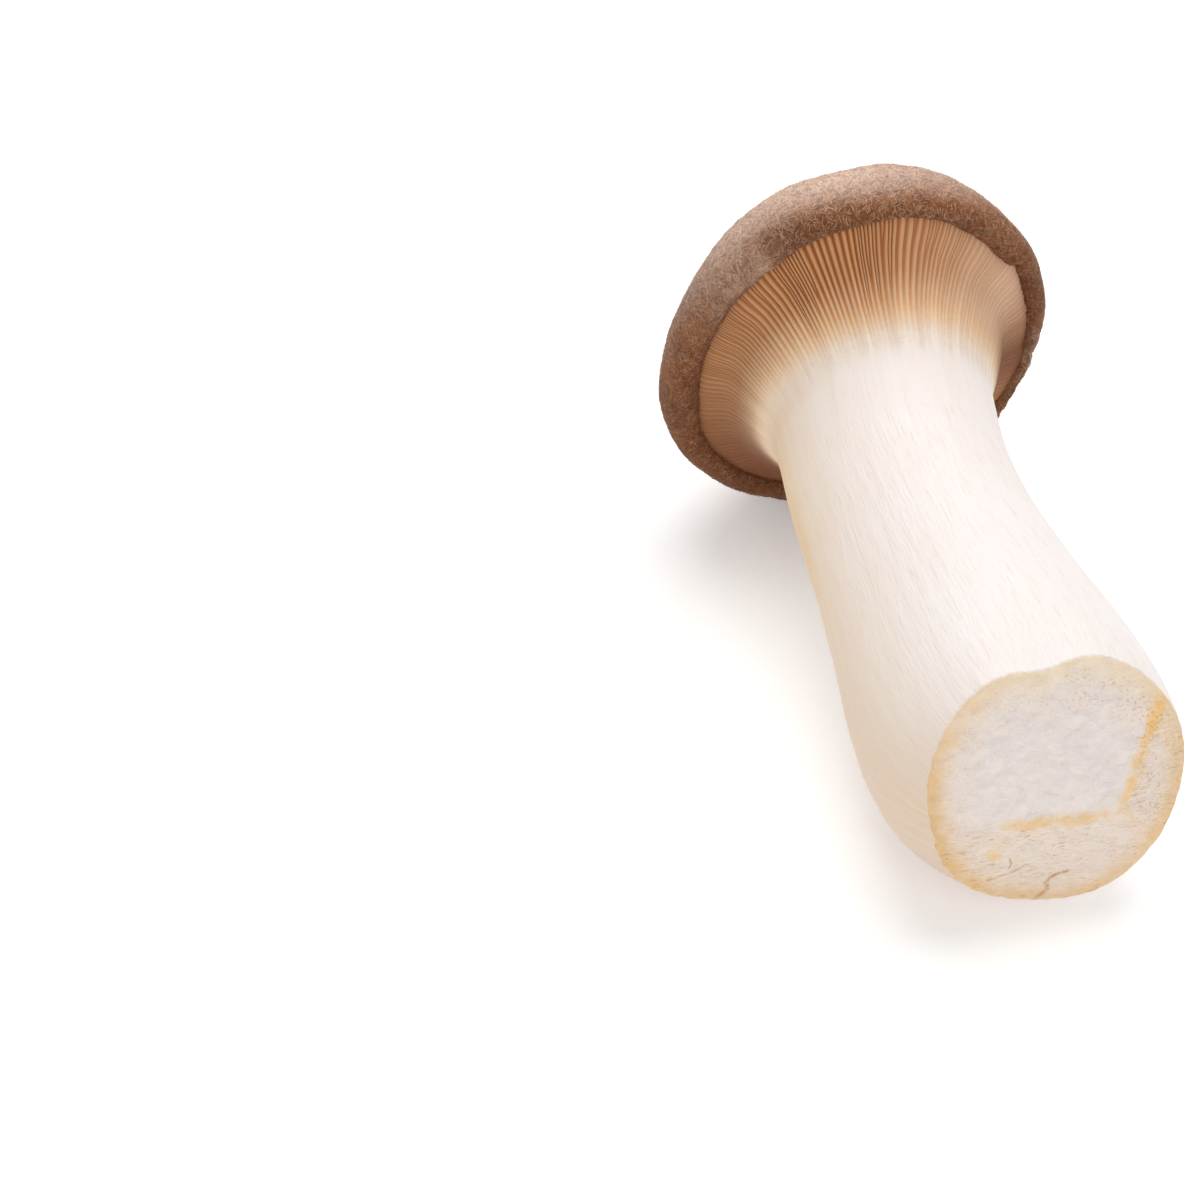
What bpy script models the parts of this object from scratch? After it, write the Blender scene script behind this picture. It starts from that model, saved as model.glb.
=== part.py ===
"""A king oyster mushroom lying on its side, its stem cut off square at the foot. One solid.

Metres and +Z up in the scene; the sizes below are millimetres. The cap is at +Y and the cut
foot at -Y. The skin is a run of rings round a gently bent axis. The gills are ridges raised
from it by a formula. A knife's three flat cuts end the foot, and one level plane makes the
two small flats that the mushroom rests on.
"""

import math

import bmesh
import bpy
import numpy as np
from mathutils import Vector

MM = 0.001

# Size: places along the mushroom are counted from the foot, in mm
CAP_RADIUS = 36.4
CAP_WIDEST_AT = 102.4
CAP_HEIGHT = 17.6
GILL_RADIUS = 30.9
GILL_EDGE_AT = 99.2
NECK_AT = 86.0
NECK_RADIUS = 19.2

# The axis: place along it, shift to the side, height over the table
AXIS = [
    (-12.0, -2.3, 26.8),
    (2.0, -3.1, 23.9),
    (12.0, -3.2, 23.3),
    (24.0, -3.4, 24.0),
    (40.0, -3.2, 25.4),
    (56.0, -2.9, 27.2),
    (72.0, -2.4, 30.4),
    (86.0, -1.1, 35.0),
    (103.0, 0.0, 38.9),
]

# The stem's radius along the axis
STEM = [
    (-12.0, 18.8),
    (-8.0, 20.4),
    (2.0, 22.9),
    (12.0, 23.9),
    (24.0, 23.4),
    (40.0, 21.4),
    (56.0, 19.7),
    (72.0, 19.1),
    (80.0, 19.1),
]

# The gilled underside, from the stem out to the rim: place along the axis, radius
UNDERSIDE = [
    (80.0, 19.1),
    (NECK_AT, NECK_RADIUS),
    (92.0, 21.4),
    (97.0, 25.3),
    (GILL_EDGE_AT, GILL_RADIUS),
]

# The inrolled rim, from the gills' outer ends round to the cap's widest
RIM = [
    (GILL_EDGE_AT, GILL_RADIUS),
    (GILL_EDGE_AT - 1.5, GILL_RADIUS + 0.5),
    (GILL_EDGE_AT - 2.3, GILL_RADIUS + 1.7),
    (GILL_EDGE_AT - 2.0, GILL_RADIUS + 3.4),
    (CAP_WIDEST_AT - 3.2, CAP_RADIUS - 0.6),
    (CAP_WIDEST_AT, CAP_RADIUS),
]

# The cap's top, from its widest to its middle
TOP = [
    (CAP_WIDEST_AT, CAP_RADIUS),
    (CAP_WIDEST_AT + 4.6, CAP_RADIUS - 1.3),
    (CAP_WIDEST_AT + 0.69 * CAP_HEIGHT, CAP_RADIUS - 6.2),
    (CAP_WIDEST_AT + 0.91 * CAP_HEIGHT, 0.56 * CAP_RADIUS),
    (CAP_WIDEST_AT + CAP_HEIGHT, 0.27 * CAP_RADIUS),
    (CAP_WIDEST_AT + CAP_HEIGHT - 0.7, 0.0),
]

# The cap is a little taller than wide: shares of its radius
CAP_OVAL_WIDE = -0.060
CAP_OVAL_LEANING = 0.015
CAP_SHIFT_DOWN = 0.024
CAP_SHIFT_SIDE = 0.007

# Where the cap's outline swells or draws in: direction and half angle in degrees, share
CAP_BUMPS = [(118.0, 26.0, 0.027), (-38.0, 24.0, -0.030)]

# How far the rim rises and dips round the cap: waves round it, height in mm, phase
RIM_WAVES = [(3, 0.25, 0.6), (5, 0.22, 2.1), (8, 0.18, 4.0), (13, 0.12, 1.2)]

# Where the rim alone swells or draws in, and where it lies further along the axis: direction and
# half angle in degrees, mm
RIM_SWELLS = [(85.0, 26.0, -1.2), (190.0, 28.0, 1.5), (-18.0, 22.0, -1.75), (30.0, 20.0, -0.25)]
RIM_LIFTS = [(78.0, 26.0, 1.0), (-115.0, 28.0, 1.7)]

# The foot rounds in at its lower side corner: place along the axis, share of the radius
FOOT_ROUND = [
    (-12.0, -0.36),
    (-3.0, -0.21),
    (2.0, -0.10),
    (8.0, -0.015),
    (16.0, 0.01),
    (30.0, 0.0),
    (44.0, -0.005),
]
FOOT_ROUND_TOWARDS = math.radians(226)

# At its other lower side the foot keeps an angular corner
FOOT_CORNER_SHARE = 0.10
FOOT_CORNER_TOWARDS = math.radians(296)
FOOT_CORNER_HALF_ANGLE = math.radians(24)
FOOT_CORNER_LENGTH = 16.0

# A shallow valley runs up the foot's upper side
VALLEY_DEPTH = 2.5
VALLEY_TOWARDS = math.radians(93)
VALLEY_HALF_ANGLE = math.radians(15)
VALLEY_LENGTH = 26.0

# The knife's cuts: a point on each, and how far it faces up and to the side, in degrees
CUTS = [
    ((-4.0, -1.5, 24.0), 16.0, 0.4),
    ((-3.0, -2.3, 8.0), -2.0, -1.0),
    ((12.0, -1.0, 24.0), 12.0, 10.1),
]

# Gills: ridges with four columns of the skin each
GILLS = 66
COLUMNS_PER_GILL = 4
GILL_COLUMN_SHARES = (0.0, 0.34, 0.48, 0.86)
GILL_COLUMN_HEIGHTS = (1.0, 1.0, 0.0, 0.0)
GILL_HEIGHT = [(80.0, 0.0), (86.0, 0.5), (91.0, 1.2), (95.5, 1.6), (98.0, 1.4), (99.0, 0.5), (99.2, 0.0)]

# How many rings each length of the skin has
STEM_RINGS = 22
GILL_RINGS = 11
RIM_RINGS = 9
TOP_RINGS = 14

# How deep the level plane cuts into the two lowest places
FLAT_DEPTH = 0.5


def smooth_through(points, at):
    """Values of a smooth curve through rows of (place, value, ...), at each place asked for."""
    points = np.asarray(points, float)
    x, values = points[:, 0], points[:, 1:]
    slope = np.gradient(values, x, axis=0)
    i = np.clip(np.searchsorted(x, at, side="right") - 1, 0, len(x) - 2)
    step = (x[i + 1] - x[i])[:, None]
    s = np.clip((at - x[i])[:, None] / step, 0.0, 1.0)
    return (
        (2 * s**3 - 3 * s**2 + 1) * values[i]
        + (s**3 - 2 * s**2 + s) * step * slope[i]
        + (3 * s**2 - 2 * s**3) * values[i + 1]
        + (s**3 - s**2) * step * slope[i + 1]
    )


def along(profile, count):
    """Evenly spaced (place, radius) rows on a smooth curve through a profile's points."""
    profile = np.asarray(profile, float)
    chords = np.hypot(*np.diff(profile, axis=0).T)
    length = np.concatenate([[0.0], np.cumsum(chords)])
    rows = np.column_stack([length, profile])
    return smooth_through(rows, np.linspace(0.0, length[-1], count))


def axis_frames(places):
    """The axis's centre and its side and up directions at each place. Past the cap's widest it's straight."""
    last = AXIS[-1][0]
    inside = np.minimum(places, last)
    near = np.clip(inside - 0.5, AXIS[0][0], last - 1.0)
    centre = smooth_through(AXIS, inside)
    ahead = smooth_through(AXIS, near + 1.0) - smooth_through(AXIS, near)
    tangent = np.column_stack([ahead[:, 0], np.ones(len(places)), ahead[:, 1]])
    tangent /= np.linalg.norm(tangent, axis=1)[:, None]
    centre = np.column_stack([centre[:, 0], inside, centre[:, 1]])
    centre = centre + tangent * (places - inside)[:, None]
    side = np.cross(tangent, (0.0, 0.0, 1.0))
    side /= np.linalg.norm(side, axis=1)[:, None]
    return centre, side, np.cross(side, tangent), tangent


def smooth_step(low, high, value):
    """0 below low, 1 above high, and a smooth rise between them."""
    s = np.clip((value - low) / (high - low), 0.0, 1.0)
    return s * s * (3 - 2 * s)


def cap_share(place):
    """0 on the stem, 1 on the cap, with a smooth step under the gills."""
    return smooth_step(90.0, 99.0, place)


def bump(angles, towards, half_angle):
    """1 in one direction round the axis, falling smoothly to 0 away from it."""
    away = (angles - towards + math.pi) % (2 * math.pi) - math.pi
    return np.exp(-((away / half_angle) ** 2))


def bumps(angles, rows):
    """Several bumps together, from rows of (direction, half angle in degrees, height)."""
    return sum(high * bump(angles, math.radians(a), math.radians(h)) for a, h, high in rows)


def radius_share(place, angles):
    """How much wider or narrower than its profile the skin is at each angle."""
    cap = cap_share(place)
    oval = CAP_OVAL_WIDE * np.cos(2 * angles) + CAP_OVAL_LEANING * np.sin(2 * angles)
    shift = -CAP_SHIFT_SIDE * np.cos(angles) - CAP_SHIFT_DOWN * np.sin(angles)
    foot = smooth_through(FOOT_ROUND, np.array([min(place, 44.0)]))[0, 0]
    rounded = foot * (0.5 + 0.5 * np.cos(angles - FOOT_ROUND_TOWARDS)) ** 1.6
    fade = np.clip(1.0 - max(place, 0.0) / FOOT_CORNER_LENGTH, 0.0, 1.0)
    corner = bump(angles, FOOT_CORNER_TOWARDS, FOOT_CORNER_HALF_ANGLE)
    swollen = cap * (oval + shift + bumps(angles, CAP_BUMPS))
    return 1.0 + swollen + rounded + FOOT_CORNER_SHARE * fade * corner


def valley(place, angles):
    """Depth in mm of the valley on the foot's upper side."""
    fade = np.clip(1.0 - max(place, 0.0) / VALLEY_LENGTH, 0.0, 1.0) ** 1.5
    return VALLEY_DEPTH * fade * bump(angles, VALLEY_TOWARDS, VALLEY_HALF_ANGLE)


def rim_wave(place, angles, radius):
    """How far the rim is pushed along the axis, so that it isn't an even ring."""
    near_rim = math.exp(-(((radius - CAP_RADIUS + 2.0) / 7.0) ** 2)) * cap_share(place)
    waves = sum(high * np.sin(count * angles + phase) for count, high, phase in RIM_WAVES)
    return near_rim * (waves + bumps(angles, RIM_LIFTS))


def rim_swell(place, angles, radius):
    """How far in mm the rim alone swells or draws in."""
    outer = smooth_step(GILL_RADIUS, CAP_RADIUS - 1.0, radius) * cap_share(place)
    return outer * bumps(angles, RIM_SWELLS)


def ring_points(place, radius, angles, raised=None, slope=None):
    """The skin's points round one ring, raised along its own normal by the gills' height."""
    radii = radius * radius_share(place, angles) - valley(place, angles)
    radii = radii + rim_swell(place, angles, radius)
    pushed = rim_wave(place, angles, radius)
    if raised is not None:
        radii = radii + raised * slope[0]
        pushed = pushed - raised * slope[1]
    centre, side, up, tangent = axis_frames(np.array([place]))
    outward = np.cos(angles)[:, None] * side + np.sin(angles)[:, None] * up
    return centre + radii[:, None] * outward + pushed[:, None] * tangent


def coarse_angles():
    return np.arange(GILLS) * 2 * math.pi / GILLS


def fine_angles():
    shares = np.array(GILL_COLUMN_SHARES)
    return ((np.arange(GILLS)[:, None] + shares) * 2 * math.pi / GILLS).ravel()


def gill_rings():
    """The rings of the underside, with the ridges raised from them."""
    rows = along(UNDERSIDE, GILL_RINGS)
    steps = np.gradient(rows, axis=0)
    steps /= np.linalg.norm(steps, axis=1)[:, None]
    heights = smooth_through(GILL_HEIGHT, rows[:, 0])[:, 0]
    pattern = np.tile(GILL_COLUMN_HEIGHTS, GILLS)
    rings = []
    for (place, radius), (along_axis, outwards), height in zip(rows, steps, heights):
        slope = (along_axis, outwards)
        rings.append(ring_points(place, radius, fine_angles(), pattern * height, slope))
    return rings


def skin_rings():
    stem = along(STEM, STEM_RINGS)[:-1]
    cap = np.vstack([along(RIM, RIM_RINGS)[1:-1], along(TOP, TOP_RINGS)[:-1]])
    rings = [ring_points(place, radius, coarse_angles()) for place, radius in stem]
    rings += gill_rings()
    rings += [ring_points(place, radius, coarse_angles()) for place, radius in cap]
    return rings


def join_even(mesh, lower, upper):
    count = len(lower)
    for i in range(count):
        j = (i + 1) % count
        mesh.faces.new((lower[i], upper[i], upper[j], lower[j]))


def join_uneven(mesh, coarse, fine, fine_is_upper):
    """Joins a ring to one with four times its columns."""
    turn = -1 if fine_is_upper else 1
    for i in range(len(coarse)):
        a, b = coarse[i], coarse[(i + 1) % len(coarse)]
        f = [fine[(COLUMNS_PER_GILL * i + k) % len(fine)] for k in range(COLUMNS_PER_GILL + 1)]
        fans = ((a, f[1], f[0]), (a, f[2], f[1]), (a, b, f[2]), (b, f[3], f[2]), (b, f[4], f[3]))
        for corners in fans:
            mesh.faces.new(corners[::turn])


def close_end(mesh, ring, middle, facing_foot):
    turn = -1 if facing_foot else 1
    for i in range(len(ring)):
        mesh.faces.new((ring[i], middle, ring[(i + 1) % len(ring)])[::turn])


def skin_mesh():
    mesh = bmesh.new()
    rings = [[mesh.verts.new(p) for p in ring] for ring in skin_rings()]
    for lower, upper in zip(rings, rings[1:]):
        if len(lower) == len(upper):
            join_even(mesh, lower, upper)
        elif len(lower) < len(upper):
            join_uneven(mesh, lower, upper, True)
        else:
            join_uneven(mesh, upper, lower, False)
    foot, top = axis_frames(np.array([STEM[0][0], TOP[-1][0]]))[0]
    close_end(mesh, rings[0], mesh.verts.new(foot), True)
    close_end(mesh, rings[-1], mesh.verts.new(top), False)
    return mesh


def cut_flat(mesh, point, normal):
    """Removes what lies beyond a plane and closes each hole that it leaves with a flat face."""
    every = mesh.verts[:] + mesh.edges[:] + mesh.faces[:]
    cut = bmesh.ops.bisect_plane(
        mesh, geom=every, dist=1e-5, plane_co=point, plane_no=normal, clear_outer=True
    )
    open_edges = [e for e in cut["geom_cut"] if isinstance(e, bmesh.types.BMEdge)]
    filled = bmesh.ops.edgenet_fill(mesh, edges=open_edges)["faces"]
    for face in filled:
        face.normal_update()
        if face.normal.dot(Vector(normal)) < 0:
            face.normal_flip()
    bmesh.ops.triangulate(mesh, faces=filled, ngon_method="EAR_CLIP")


def facing(up_degrees, side_degrees):
    """The outward direction of a cut at the foot."""
    up, side = math.radians(up_degrees), math.radians(side_degrees)
    return (math.sin(side) * math.cos(up), -math.cos(side) * math.cos(up), math.sin(up))


def level_on_table(mesh):
    """Turns the mushroom about the sideways direction until foot and rim are equally low."""
    foot = min((v.co for v in mesh.verts if v.co.y < 60), key=lambda co: co.z).copy()
    rim = min((v.co for v in mesh.verts if v.co.y > 60), key=lambda co: co.z).copy()
    turn = math.atan2(rim.z - foot.z, rim.y - foot.y)
    cosine, sine = math.cos(turn), math.sin(turn)
    for v in mesh.verts:
        y, z = v.co.y - foot.y, v.co.z - foot.z
        v.co.y, v.co.z = foot.y + y * cosine + z * sine, z * cosine - y * sine


def centre_on_origin(mesh):
    """Puts the middle of the bounding box's bottom at the origin."""
    corners = np.array([v.co for v in mesh.verts])
    low, high = corners.min(axis=0), corners.max(axis=0)
    middle = Vector(((low[0] + high[0]) / 2, (low[1] + high[1]) / 2, low[2]))
    for v in mesh.verts:
        v.co -= middle


def mushroom_material():
    material = bpy.data.materials.new("mushroom_flesh")
    material.use_nodes = True
    shader = material.node_tree.nodes["Principled BSDF"]
    shader.inputs["Base Color"].default_value = (0.72, 0.55, 0.42, 1.0)
    shader.inputs["Roughness"].default_value = 0.75
    return material


def build():
    for obj in list(bpy.data.objects):
        bpy.data.objects.remove(obj)
    mesh = skin_mesh()
    for point, up_degrees, side_degrees in CUTS:
        cut_flat(mesh, point, facing(up_degrees, side_degrees))
    level_on_table(mesh)
    cut_flat(mesh, (0.0, 0.0, FLAT_DEPTH), (0.0, 0.0, -1.0))
    centre_on_origin(mesh)
    bmesh.ops.scale(mesh, vec=(MM, MM, MM), verts=mesh.verts)
    bmesh.ops.triangulate(mesh, faces=mesh.faces)
    data = bpy.data.meshes.new("mushroom")
    mesh.to_mesh(data)
    mesh.free()
    data.materials.append(mushroom_material())
    piece = bpy.data.objects.new("mushroom", data)
    bpy.context.scene.collection.objects.link(piece)


build()
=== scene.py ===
"""A king oyster mushroom lying on a pale table: cap, gills, stem and cut foot, finely shaped
and given their materials. Lengths below are millimetres unless a name says otherwise."""

import math

import bpy
import numpy as np
from mathutils import Matrix, Vector

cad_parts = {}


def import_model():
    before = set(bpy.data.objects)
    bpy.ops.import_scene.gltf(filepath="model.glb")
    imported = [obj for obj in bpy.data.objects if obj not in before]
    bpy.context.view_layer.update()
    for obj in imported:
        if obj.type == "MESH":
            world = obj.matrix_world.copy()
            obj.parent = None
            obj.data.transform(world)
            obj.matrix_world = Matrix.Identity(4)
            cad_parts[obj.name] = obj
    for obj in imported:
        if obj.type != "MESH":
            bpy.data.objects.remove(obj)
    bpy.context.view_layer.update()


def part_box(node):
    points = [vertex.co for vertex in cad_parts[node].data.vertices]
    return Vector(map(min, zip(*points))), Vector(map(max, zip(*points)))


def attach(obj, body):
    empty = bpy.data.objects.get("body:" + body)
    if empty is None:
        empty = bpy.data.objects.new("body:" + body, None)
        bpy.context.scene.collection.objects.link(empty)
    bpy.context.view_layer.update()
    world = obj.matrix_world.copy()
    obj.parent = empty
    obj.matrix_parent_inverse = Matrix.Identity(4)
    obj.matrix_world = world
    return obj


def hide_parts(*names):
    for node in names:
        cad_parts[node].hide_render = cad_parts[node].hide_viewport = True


MM = 0.001

# Shape, as in the part's source. Rows start with a place along the axis, counted from the foot:
# the axis has (place, x, z), a profile (place, radius) and the foot (place, share of the radius)
CAP_RADIUS = 36.4
CAP_WIDEST_AT = 102.4
CAP_HEIGHT = 17.6
GILL_RADIUS = 30.9
GILL_EDGE_AT = 99.2
GILLS_FROM = 80.0
NECK_AT = 86.0
NECK_RADIUS = 19.2
AXIS = [
    (-12.0, -2.3, 26.8),
    (2.0, -3.1, 23.9),
    (12.0, -3.2, 23.3),
    (24.0, -3.4, 24.0),
    (40.0, -3.2, 25.4),
    (56.0, -2.9, 27.2),
    (72.0, -2.4, 30.4),
    (86.0, -1.1, 35.0),
    (103.0, 0.0, 38.9),
]
STEM = [
    (-12.0, 18.8),
    (-8.0, 20.4),
    (2.0, 22.9),
    (12.0, 23.9),
    (24.0, 23.4),
    (40.0, 21.4),
    (56.0, 19.7),
    (72.0, 19.1),
    (GILLS_FROM, 19.1),
]
UNDERSIDE = [
    (GILLS_FROM, 19.1),
    (NECK_AT, NECK_RADIUS),
    (92.0, 21.4),
    (97.0, 25.3),
    (GILL_EDGE_AT, GILL_RADIUS),
]
RIM = [
    (GILL_EDGE_AT, GILL_RADIUS),
    (GILL_EDGE_AT - 1.5, GILL_RADIUS + 0.5),
    (GILL_EDGE_AT - 2.3, GILL_RADIUS + 1.7),
    (GILL_EDGE_AT - 2.0, GILL_RADIUS + 3.4),
    (CAP_WIDEST_AT - 3.2, CAP_RADIUS - 0.6),
    (CAP_WIDEST_AT, CAP_RADIUS),
]
TOP = [
    (CAP_WIDEST_AT, CAP_RADIUS),
    (CAP_WIDEST_AT + 4.6, CAP_RADIUS - 1.3),
    (CAP_WIDEST_AT + 0.69 * CAP_HEIGHT, CAP_RADIUS - 6.2),
    (CAP_WIDEST_AT + 0.91 * CAP_HEIGHT, 0.56 * CAP_RADIUS),
    (CAP_WIDEST_AT + CAP_HEIGHT, 0.27 * CAP_RADIUS),
    (CAP_WIDEST_AT + CAP_HEIGHT - 0.7, 0.0),
]
CAP_OVAL_WIDE = -0.060
CAP_OVAL_LEANING = 0.015
CAP_SHIFT_DOWN = 0.024
CAP_SHIFT_SIDE = 0.007
# Bumps, here and below, are rows of (direction, half angle, amount). Directions are degrees
# round the axis, from +x up towards +z
CAP_BUMPS = [(118.0, 26.0, 0.027), (-38.0, 24.0, -0.030)]
# Waves are rows of (how many round, height, phase)
RIM_WAVES = [(3, 0.25, 0.6), (5, 0.22, 2.1), (8, 0.18, 4.0), (13, 0.12, 1.2)]
RIM_SWELLS = [(85.0, 26.0, -1.2), (190.0, 28.0, 1.5), (-18.0, 22.0, -1.75), (30.0, 20.0, -0.25)]
RIM_LIFTS = [(78.0, 26.0, 1.0), (-115.0, 28.0, 1.7)]
FOOT_ROUND = [
    (-12.0, -0.36),
    (-3.0, -0.21),
    (2.0, -0.10),
    (8.0, -0.015),
    (16.0, 0.01),
    (30.0, 0.0),
    (44.0, -0.005),
]
FOOT_ROUND_TOWARDS = math.radians(226)
FOOT_CORNER_SHARE = 0.10
FOOT_CORNER_TOWARDS = math.radians(296)
FOOT_CORNER_HALF_ANGLE = math.radians(24)
FOOT_CORNER_LENGTH = 16.0
VALLEY_DEPTH = 2.5
VALLEY_TOWARDS = math.radians(93)
VALLEY_HALF_ANGLE = math.radians(15)
VALLEY_LENGTH = 26.0
# The knife's cuts: a point of each, and its degrees up and sideways
CUTS = [
    ((-4.0, -1.5, 24.0), 16.0, 0.4),
    ((-3.0, -2.3, 8.0), -2.0, -1.0),
    ((12.0, -1.0, 24.0), 12.0, 10.1),
]
GILL_HEIGHT = [
    (GILLS_FROM, 0.0),
    (NECK_AT, 0.5),
    (91.0, 1.2),
    (95.5, 1.6),
    (98.0, 1.4),
    (GILL_EDGE_AT, 1.1),
]
FLAT_DEPTH = 0.5
TABLE_GAP = 0.02

# The fine gills
GILL_SEED = 11
PRIMARY_GILLS = 158
# A gill's cross-section, as (share of the half width, share of the height)
GILL_PROFILE = [(-1.0, 0.0), (-0.56, 0.74), (0.0, 1.0), (0.56, 0.74), (1.0, 0.0)]
GILL_ROWS = 62
GILL_START = 66.0
SEAM_AT = 74.4
GILLS_SUNK = 1.2
SHORT_GILL_CHANCE = 0.5
SHORT_GILL_START = (0.60, 0.90)
SHORT_GILL_HEIGHT = (0.70, 0.95)
GILL_HALF_WIDTH = 0.41
GILL_NARROWED_BY = 0.17
GILL_TILT = 0.03
# Rows of (how many round, height in gills, phase, drift of the phase outwards)
GILL_WAVES = [(7, 0.30, 1.3, 1.2), (13, 0.22, 0.4, -0.9), (29, 0.09, 2.2, 1.4)]
# Painted shade on the gills at the lower left and the lower right
GILL_PAINTED_SHADE = [(-124.0, 68.0, 0.88), (-4.0, 24.0, 0.78)]
GILL_RELIEF = [(103.0, 40.0, 0.70)]
# How strong the painted shade in the grooves is, by side: most on the upper left
GROOVE_SHADE_SIDE = [(112.0, 50.0, 0.65)]
# Painted highlight: the gills' right side, which faces the light, is painted paler
LIT_GILLS = [(34.0, 30.0, 1.0)]

# The cap's surface, and the bumps that its marks follow
CAP_COLUMNS = 600
RIM_ROWS = 44
TOP_ROWS = 84
ROLL_START = (GILL_EDGE_AT + 1.6, GILL_RADIUS + 0.2)
CAP_INSET = 0.30
LIP_FOLDS = [
    (47.0, 8.0, 0.6),
    (35.0, 6.0, -0.4),
    (86.0, 24.0, -1.5),
    (-106.0, 30.0, 1.5),
    (-8.0, 9.0, -0.5),
]
LIP_WAVES = [(6, 0.12, 0.7), (11, 0.08, 2.4), (23, 0.05, 1.1)]
CREASES = [
    (40.5, 1.5, 0.9),
    (130.0, 1.6, 0.5),
    (-3.0, 1.6, 0.7),
    (20.0, 1.4, 0.4),
    (205.0, 2.0, 0.35),
]
# Painted highlight: the rim's upper side, which faces the light, is painted pale; paler patches
# beside it
LIT_RIM = [(105.0, 62.0, 0.95)]
PALE_PATCHES = [(137.0, 14.0, 0.30), (-5.0, 13.0, 0.45)]
PALE_SPOT = [(128.0, 2.4, 0.95)]
PALE_SPOT_AT = 0.38
PALE_SPOT_LENGTH = 0.22
WORN_LINES = [(-4.0, 1.6, 1.0), (-20.0, 11.0, 0.3)]
WORN_LINES_SHARE = 0.6
# Painted shade at the rim's lower left, with a darker patch on its right; painted shade in the
# roll's hollow at the top
RIM_SHADE_AND_DARK_PATCH = [(-125.0, 60.0, 0.38), (23.0, 11.0, 0.28)]
ROLL_PAINTED_SHADE = [(88.0, 45.0, 0.35)]
# Where the felt's light fibres are lighter: painted highlight on the upper side, which faces the
# light
LIT_FIBRES_SIDE = [(95.0, 70.0, 0.5)]

# The cap's felt: fibres of four points, with each point's share of the height and of the width
FELT_SEED = 7
FIBRES = 39000
FIBRE_LENGTH = (0.7, 1.7)
FIBRE_WIDTH = 0.105
FIBRE_HEIGHT = (0.05, 0.20)
FIBRE_TURN = (0.8, 2.6)
FIBRE_LIFTS = (0.0, 0.8, 1.0, 0.45)
FIBRE_WIDTHS = (0.6, 1.0, 0.8, 0.0)
FIBRE_CORNERS = 7

# The stem
STEM_COLUMNS = 420
SKIN_ROWS = 140
SKIN_INSET = 0.05
STEM_END_AT = 84.0
STEM_END_SUNK = 2.0
FIBRES_RADIUS = 20.0
# Painted warm shade: the stem's shaded left side and the neck's left are painted tan for light
# glowing through the flesh
WARM_SHADE_LEFT = [(187.0, 46.0, 0.65)]
WARM_NECK = [(190.0, 18.0, 0.4)]
# Painted shade low on the stem, below and to the left near the foot
SHADE_BELOW = [(235.0, 62.0, 0.75)]

# The cut foot. Lines on its face are corners in x and z
FACE_ROWS = 96
FACE_INSET = 0.14
CUT_EDGE_WAVES = [(31, 0.10, 1.0), (57, 0.08, 0.3)]
EDGE_GAP = 0.75
EDGE_ROUNDING = 0.55
EDGE_ROUNDED_OVER = 0.8
OCHRE_EDGES = [(190.0, 60.0, 1.0), (-60.0, 70.0, 0.8), (105.0, 50.0, 0.25), (15.0, 45.0, 0.5)]
PITTED_SIDE = [(25.0, 50.0, 0.65)]
RIDGE_TURN = [(-10.6, 17.8), (-11.4, 17.4), (-12.2, 15.6), (-12.0, 14.2)]
# How strong the ridge between two cuts is
RIDGE_STRENGTH = {(0, 1): 0.75, (0, 2): 1.0, (1, 2): 0.25}
RIDGE_HALF_WIDTH = 1.05
CRACK_DEPTH = 0.02
# Rows of (half width, corners)
CRACKS = [
    (0.34, [(0.4, 8.6), (-0.8, 8.3), (-2.2, 7.6), (-2.9, 6.6), (-2.6, 6.0)]),
    (0.27, [(-2.5, 5.3), (-3.2, 4.3), (-4.2, 3.6)]),
    (0.15, [(-12.6, 9.4), (-11.0, 9.9), (-8.5, 10.4), (-6.4, 11.4)]),
    (0.14, [(-9.4, 13.3), (-9.0, 12.2), (-9.3, 11.2)]),
]

# The table top and the lights: places and sizes in metres, power in watts
FLOOR_HALF = 4.0
FLOOR_WHITE = (0.92, 0.92, 0.92)
FLOOR_GLOW = 0.25
SKY_STRENGTH = 0.46
LIGHTS_AIM = (0.0, 0.0, 0.03)
WHITE = (1.0, 1.0, 1.0)

# The camera: which way it looks, and where the cap's middle sits in the 1200-pixel frame
LENS_MM = 85.0
SENSOR_MM = 36.0
PHOTO_SIZE = 1200.0
LOOK_AZIMUTH = -14.55
LOOK_ELEVATION = 38.96
LOOK_AT = (0.0, 44.97, 38.9)
LOOK_AT_PIXEL = (846.3, 336.5)
LOOK_DISTANCE = 500.0


# Curves and the skin


def smooth_through(points, at):
    """Values of a smooth curve through rows of (place, value, ...), at each place asked for."""
    points = np.asarray(points, float)
    x, values = points[:, 0], points[:, 1:]
    slope = np.gradient(values, x, axis=0)
    i = np.clip(np.searchsorted(x, at, side="right") - 1, 0, len(x) - 2)
    step = (x[i + 1] - x[i])[..., None]
    s = np.clip((at - x[i])[..., None] / step, 0.0, 1.0)
    return (
        (2 * s**3 - 3 * s**2 + 1) * values[i]
        + (s**3 - 2 * s**2 + s) * step * slope[i]
        + (3 * s**2 - 2 * s**3) * values[i + 1]
        + (s**3 - s**2) * step * slope[i + 1]
    )


def along(profile, count):
    """Evenly spaced (place, radius) rows on a smooth curve through a profile's points."""
    profile = np.asarray(profile, float)
    chords = np.hypot(*np.diff(profile, axis=0).T)
    length = np.concatenate([[0.0], np.cumsum(chords)])
    rows = np.column_stack([length, profile])
    return smooth_through(rows, np.linspace(0.0, length[-1], count))


def smooth_step(low, high, value):
    """0 at low, 1 at high, and a smooth rise between."""
    s = np.clip((value - low) / (high - low), 0.0, 1.0)
    return s * s * (3 - 2 * s)


def bump(angles, towards, half_angle):
    """1 in one direction round the axis, falling smoothly to 0 away from it."""
    away = (angles - towards + math.pi) % (2 * math.pi) - math.pi
    return np.exp(-((away / half_angle) ** 2))


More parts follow.
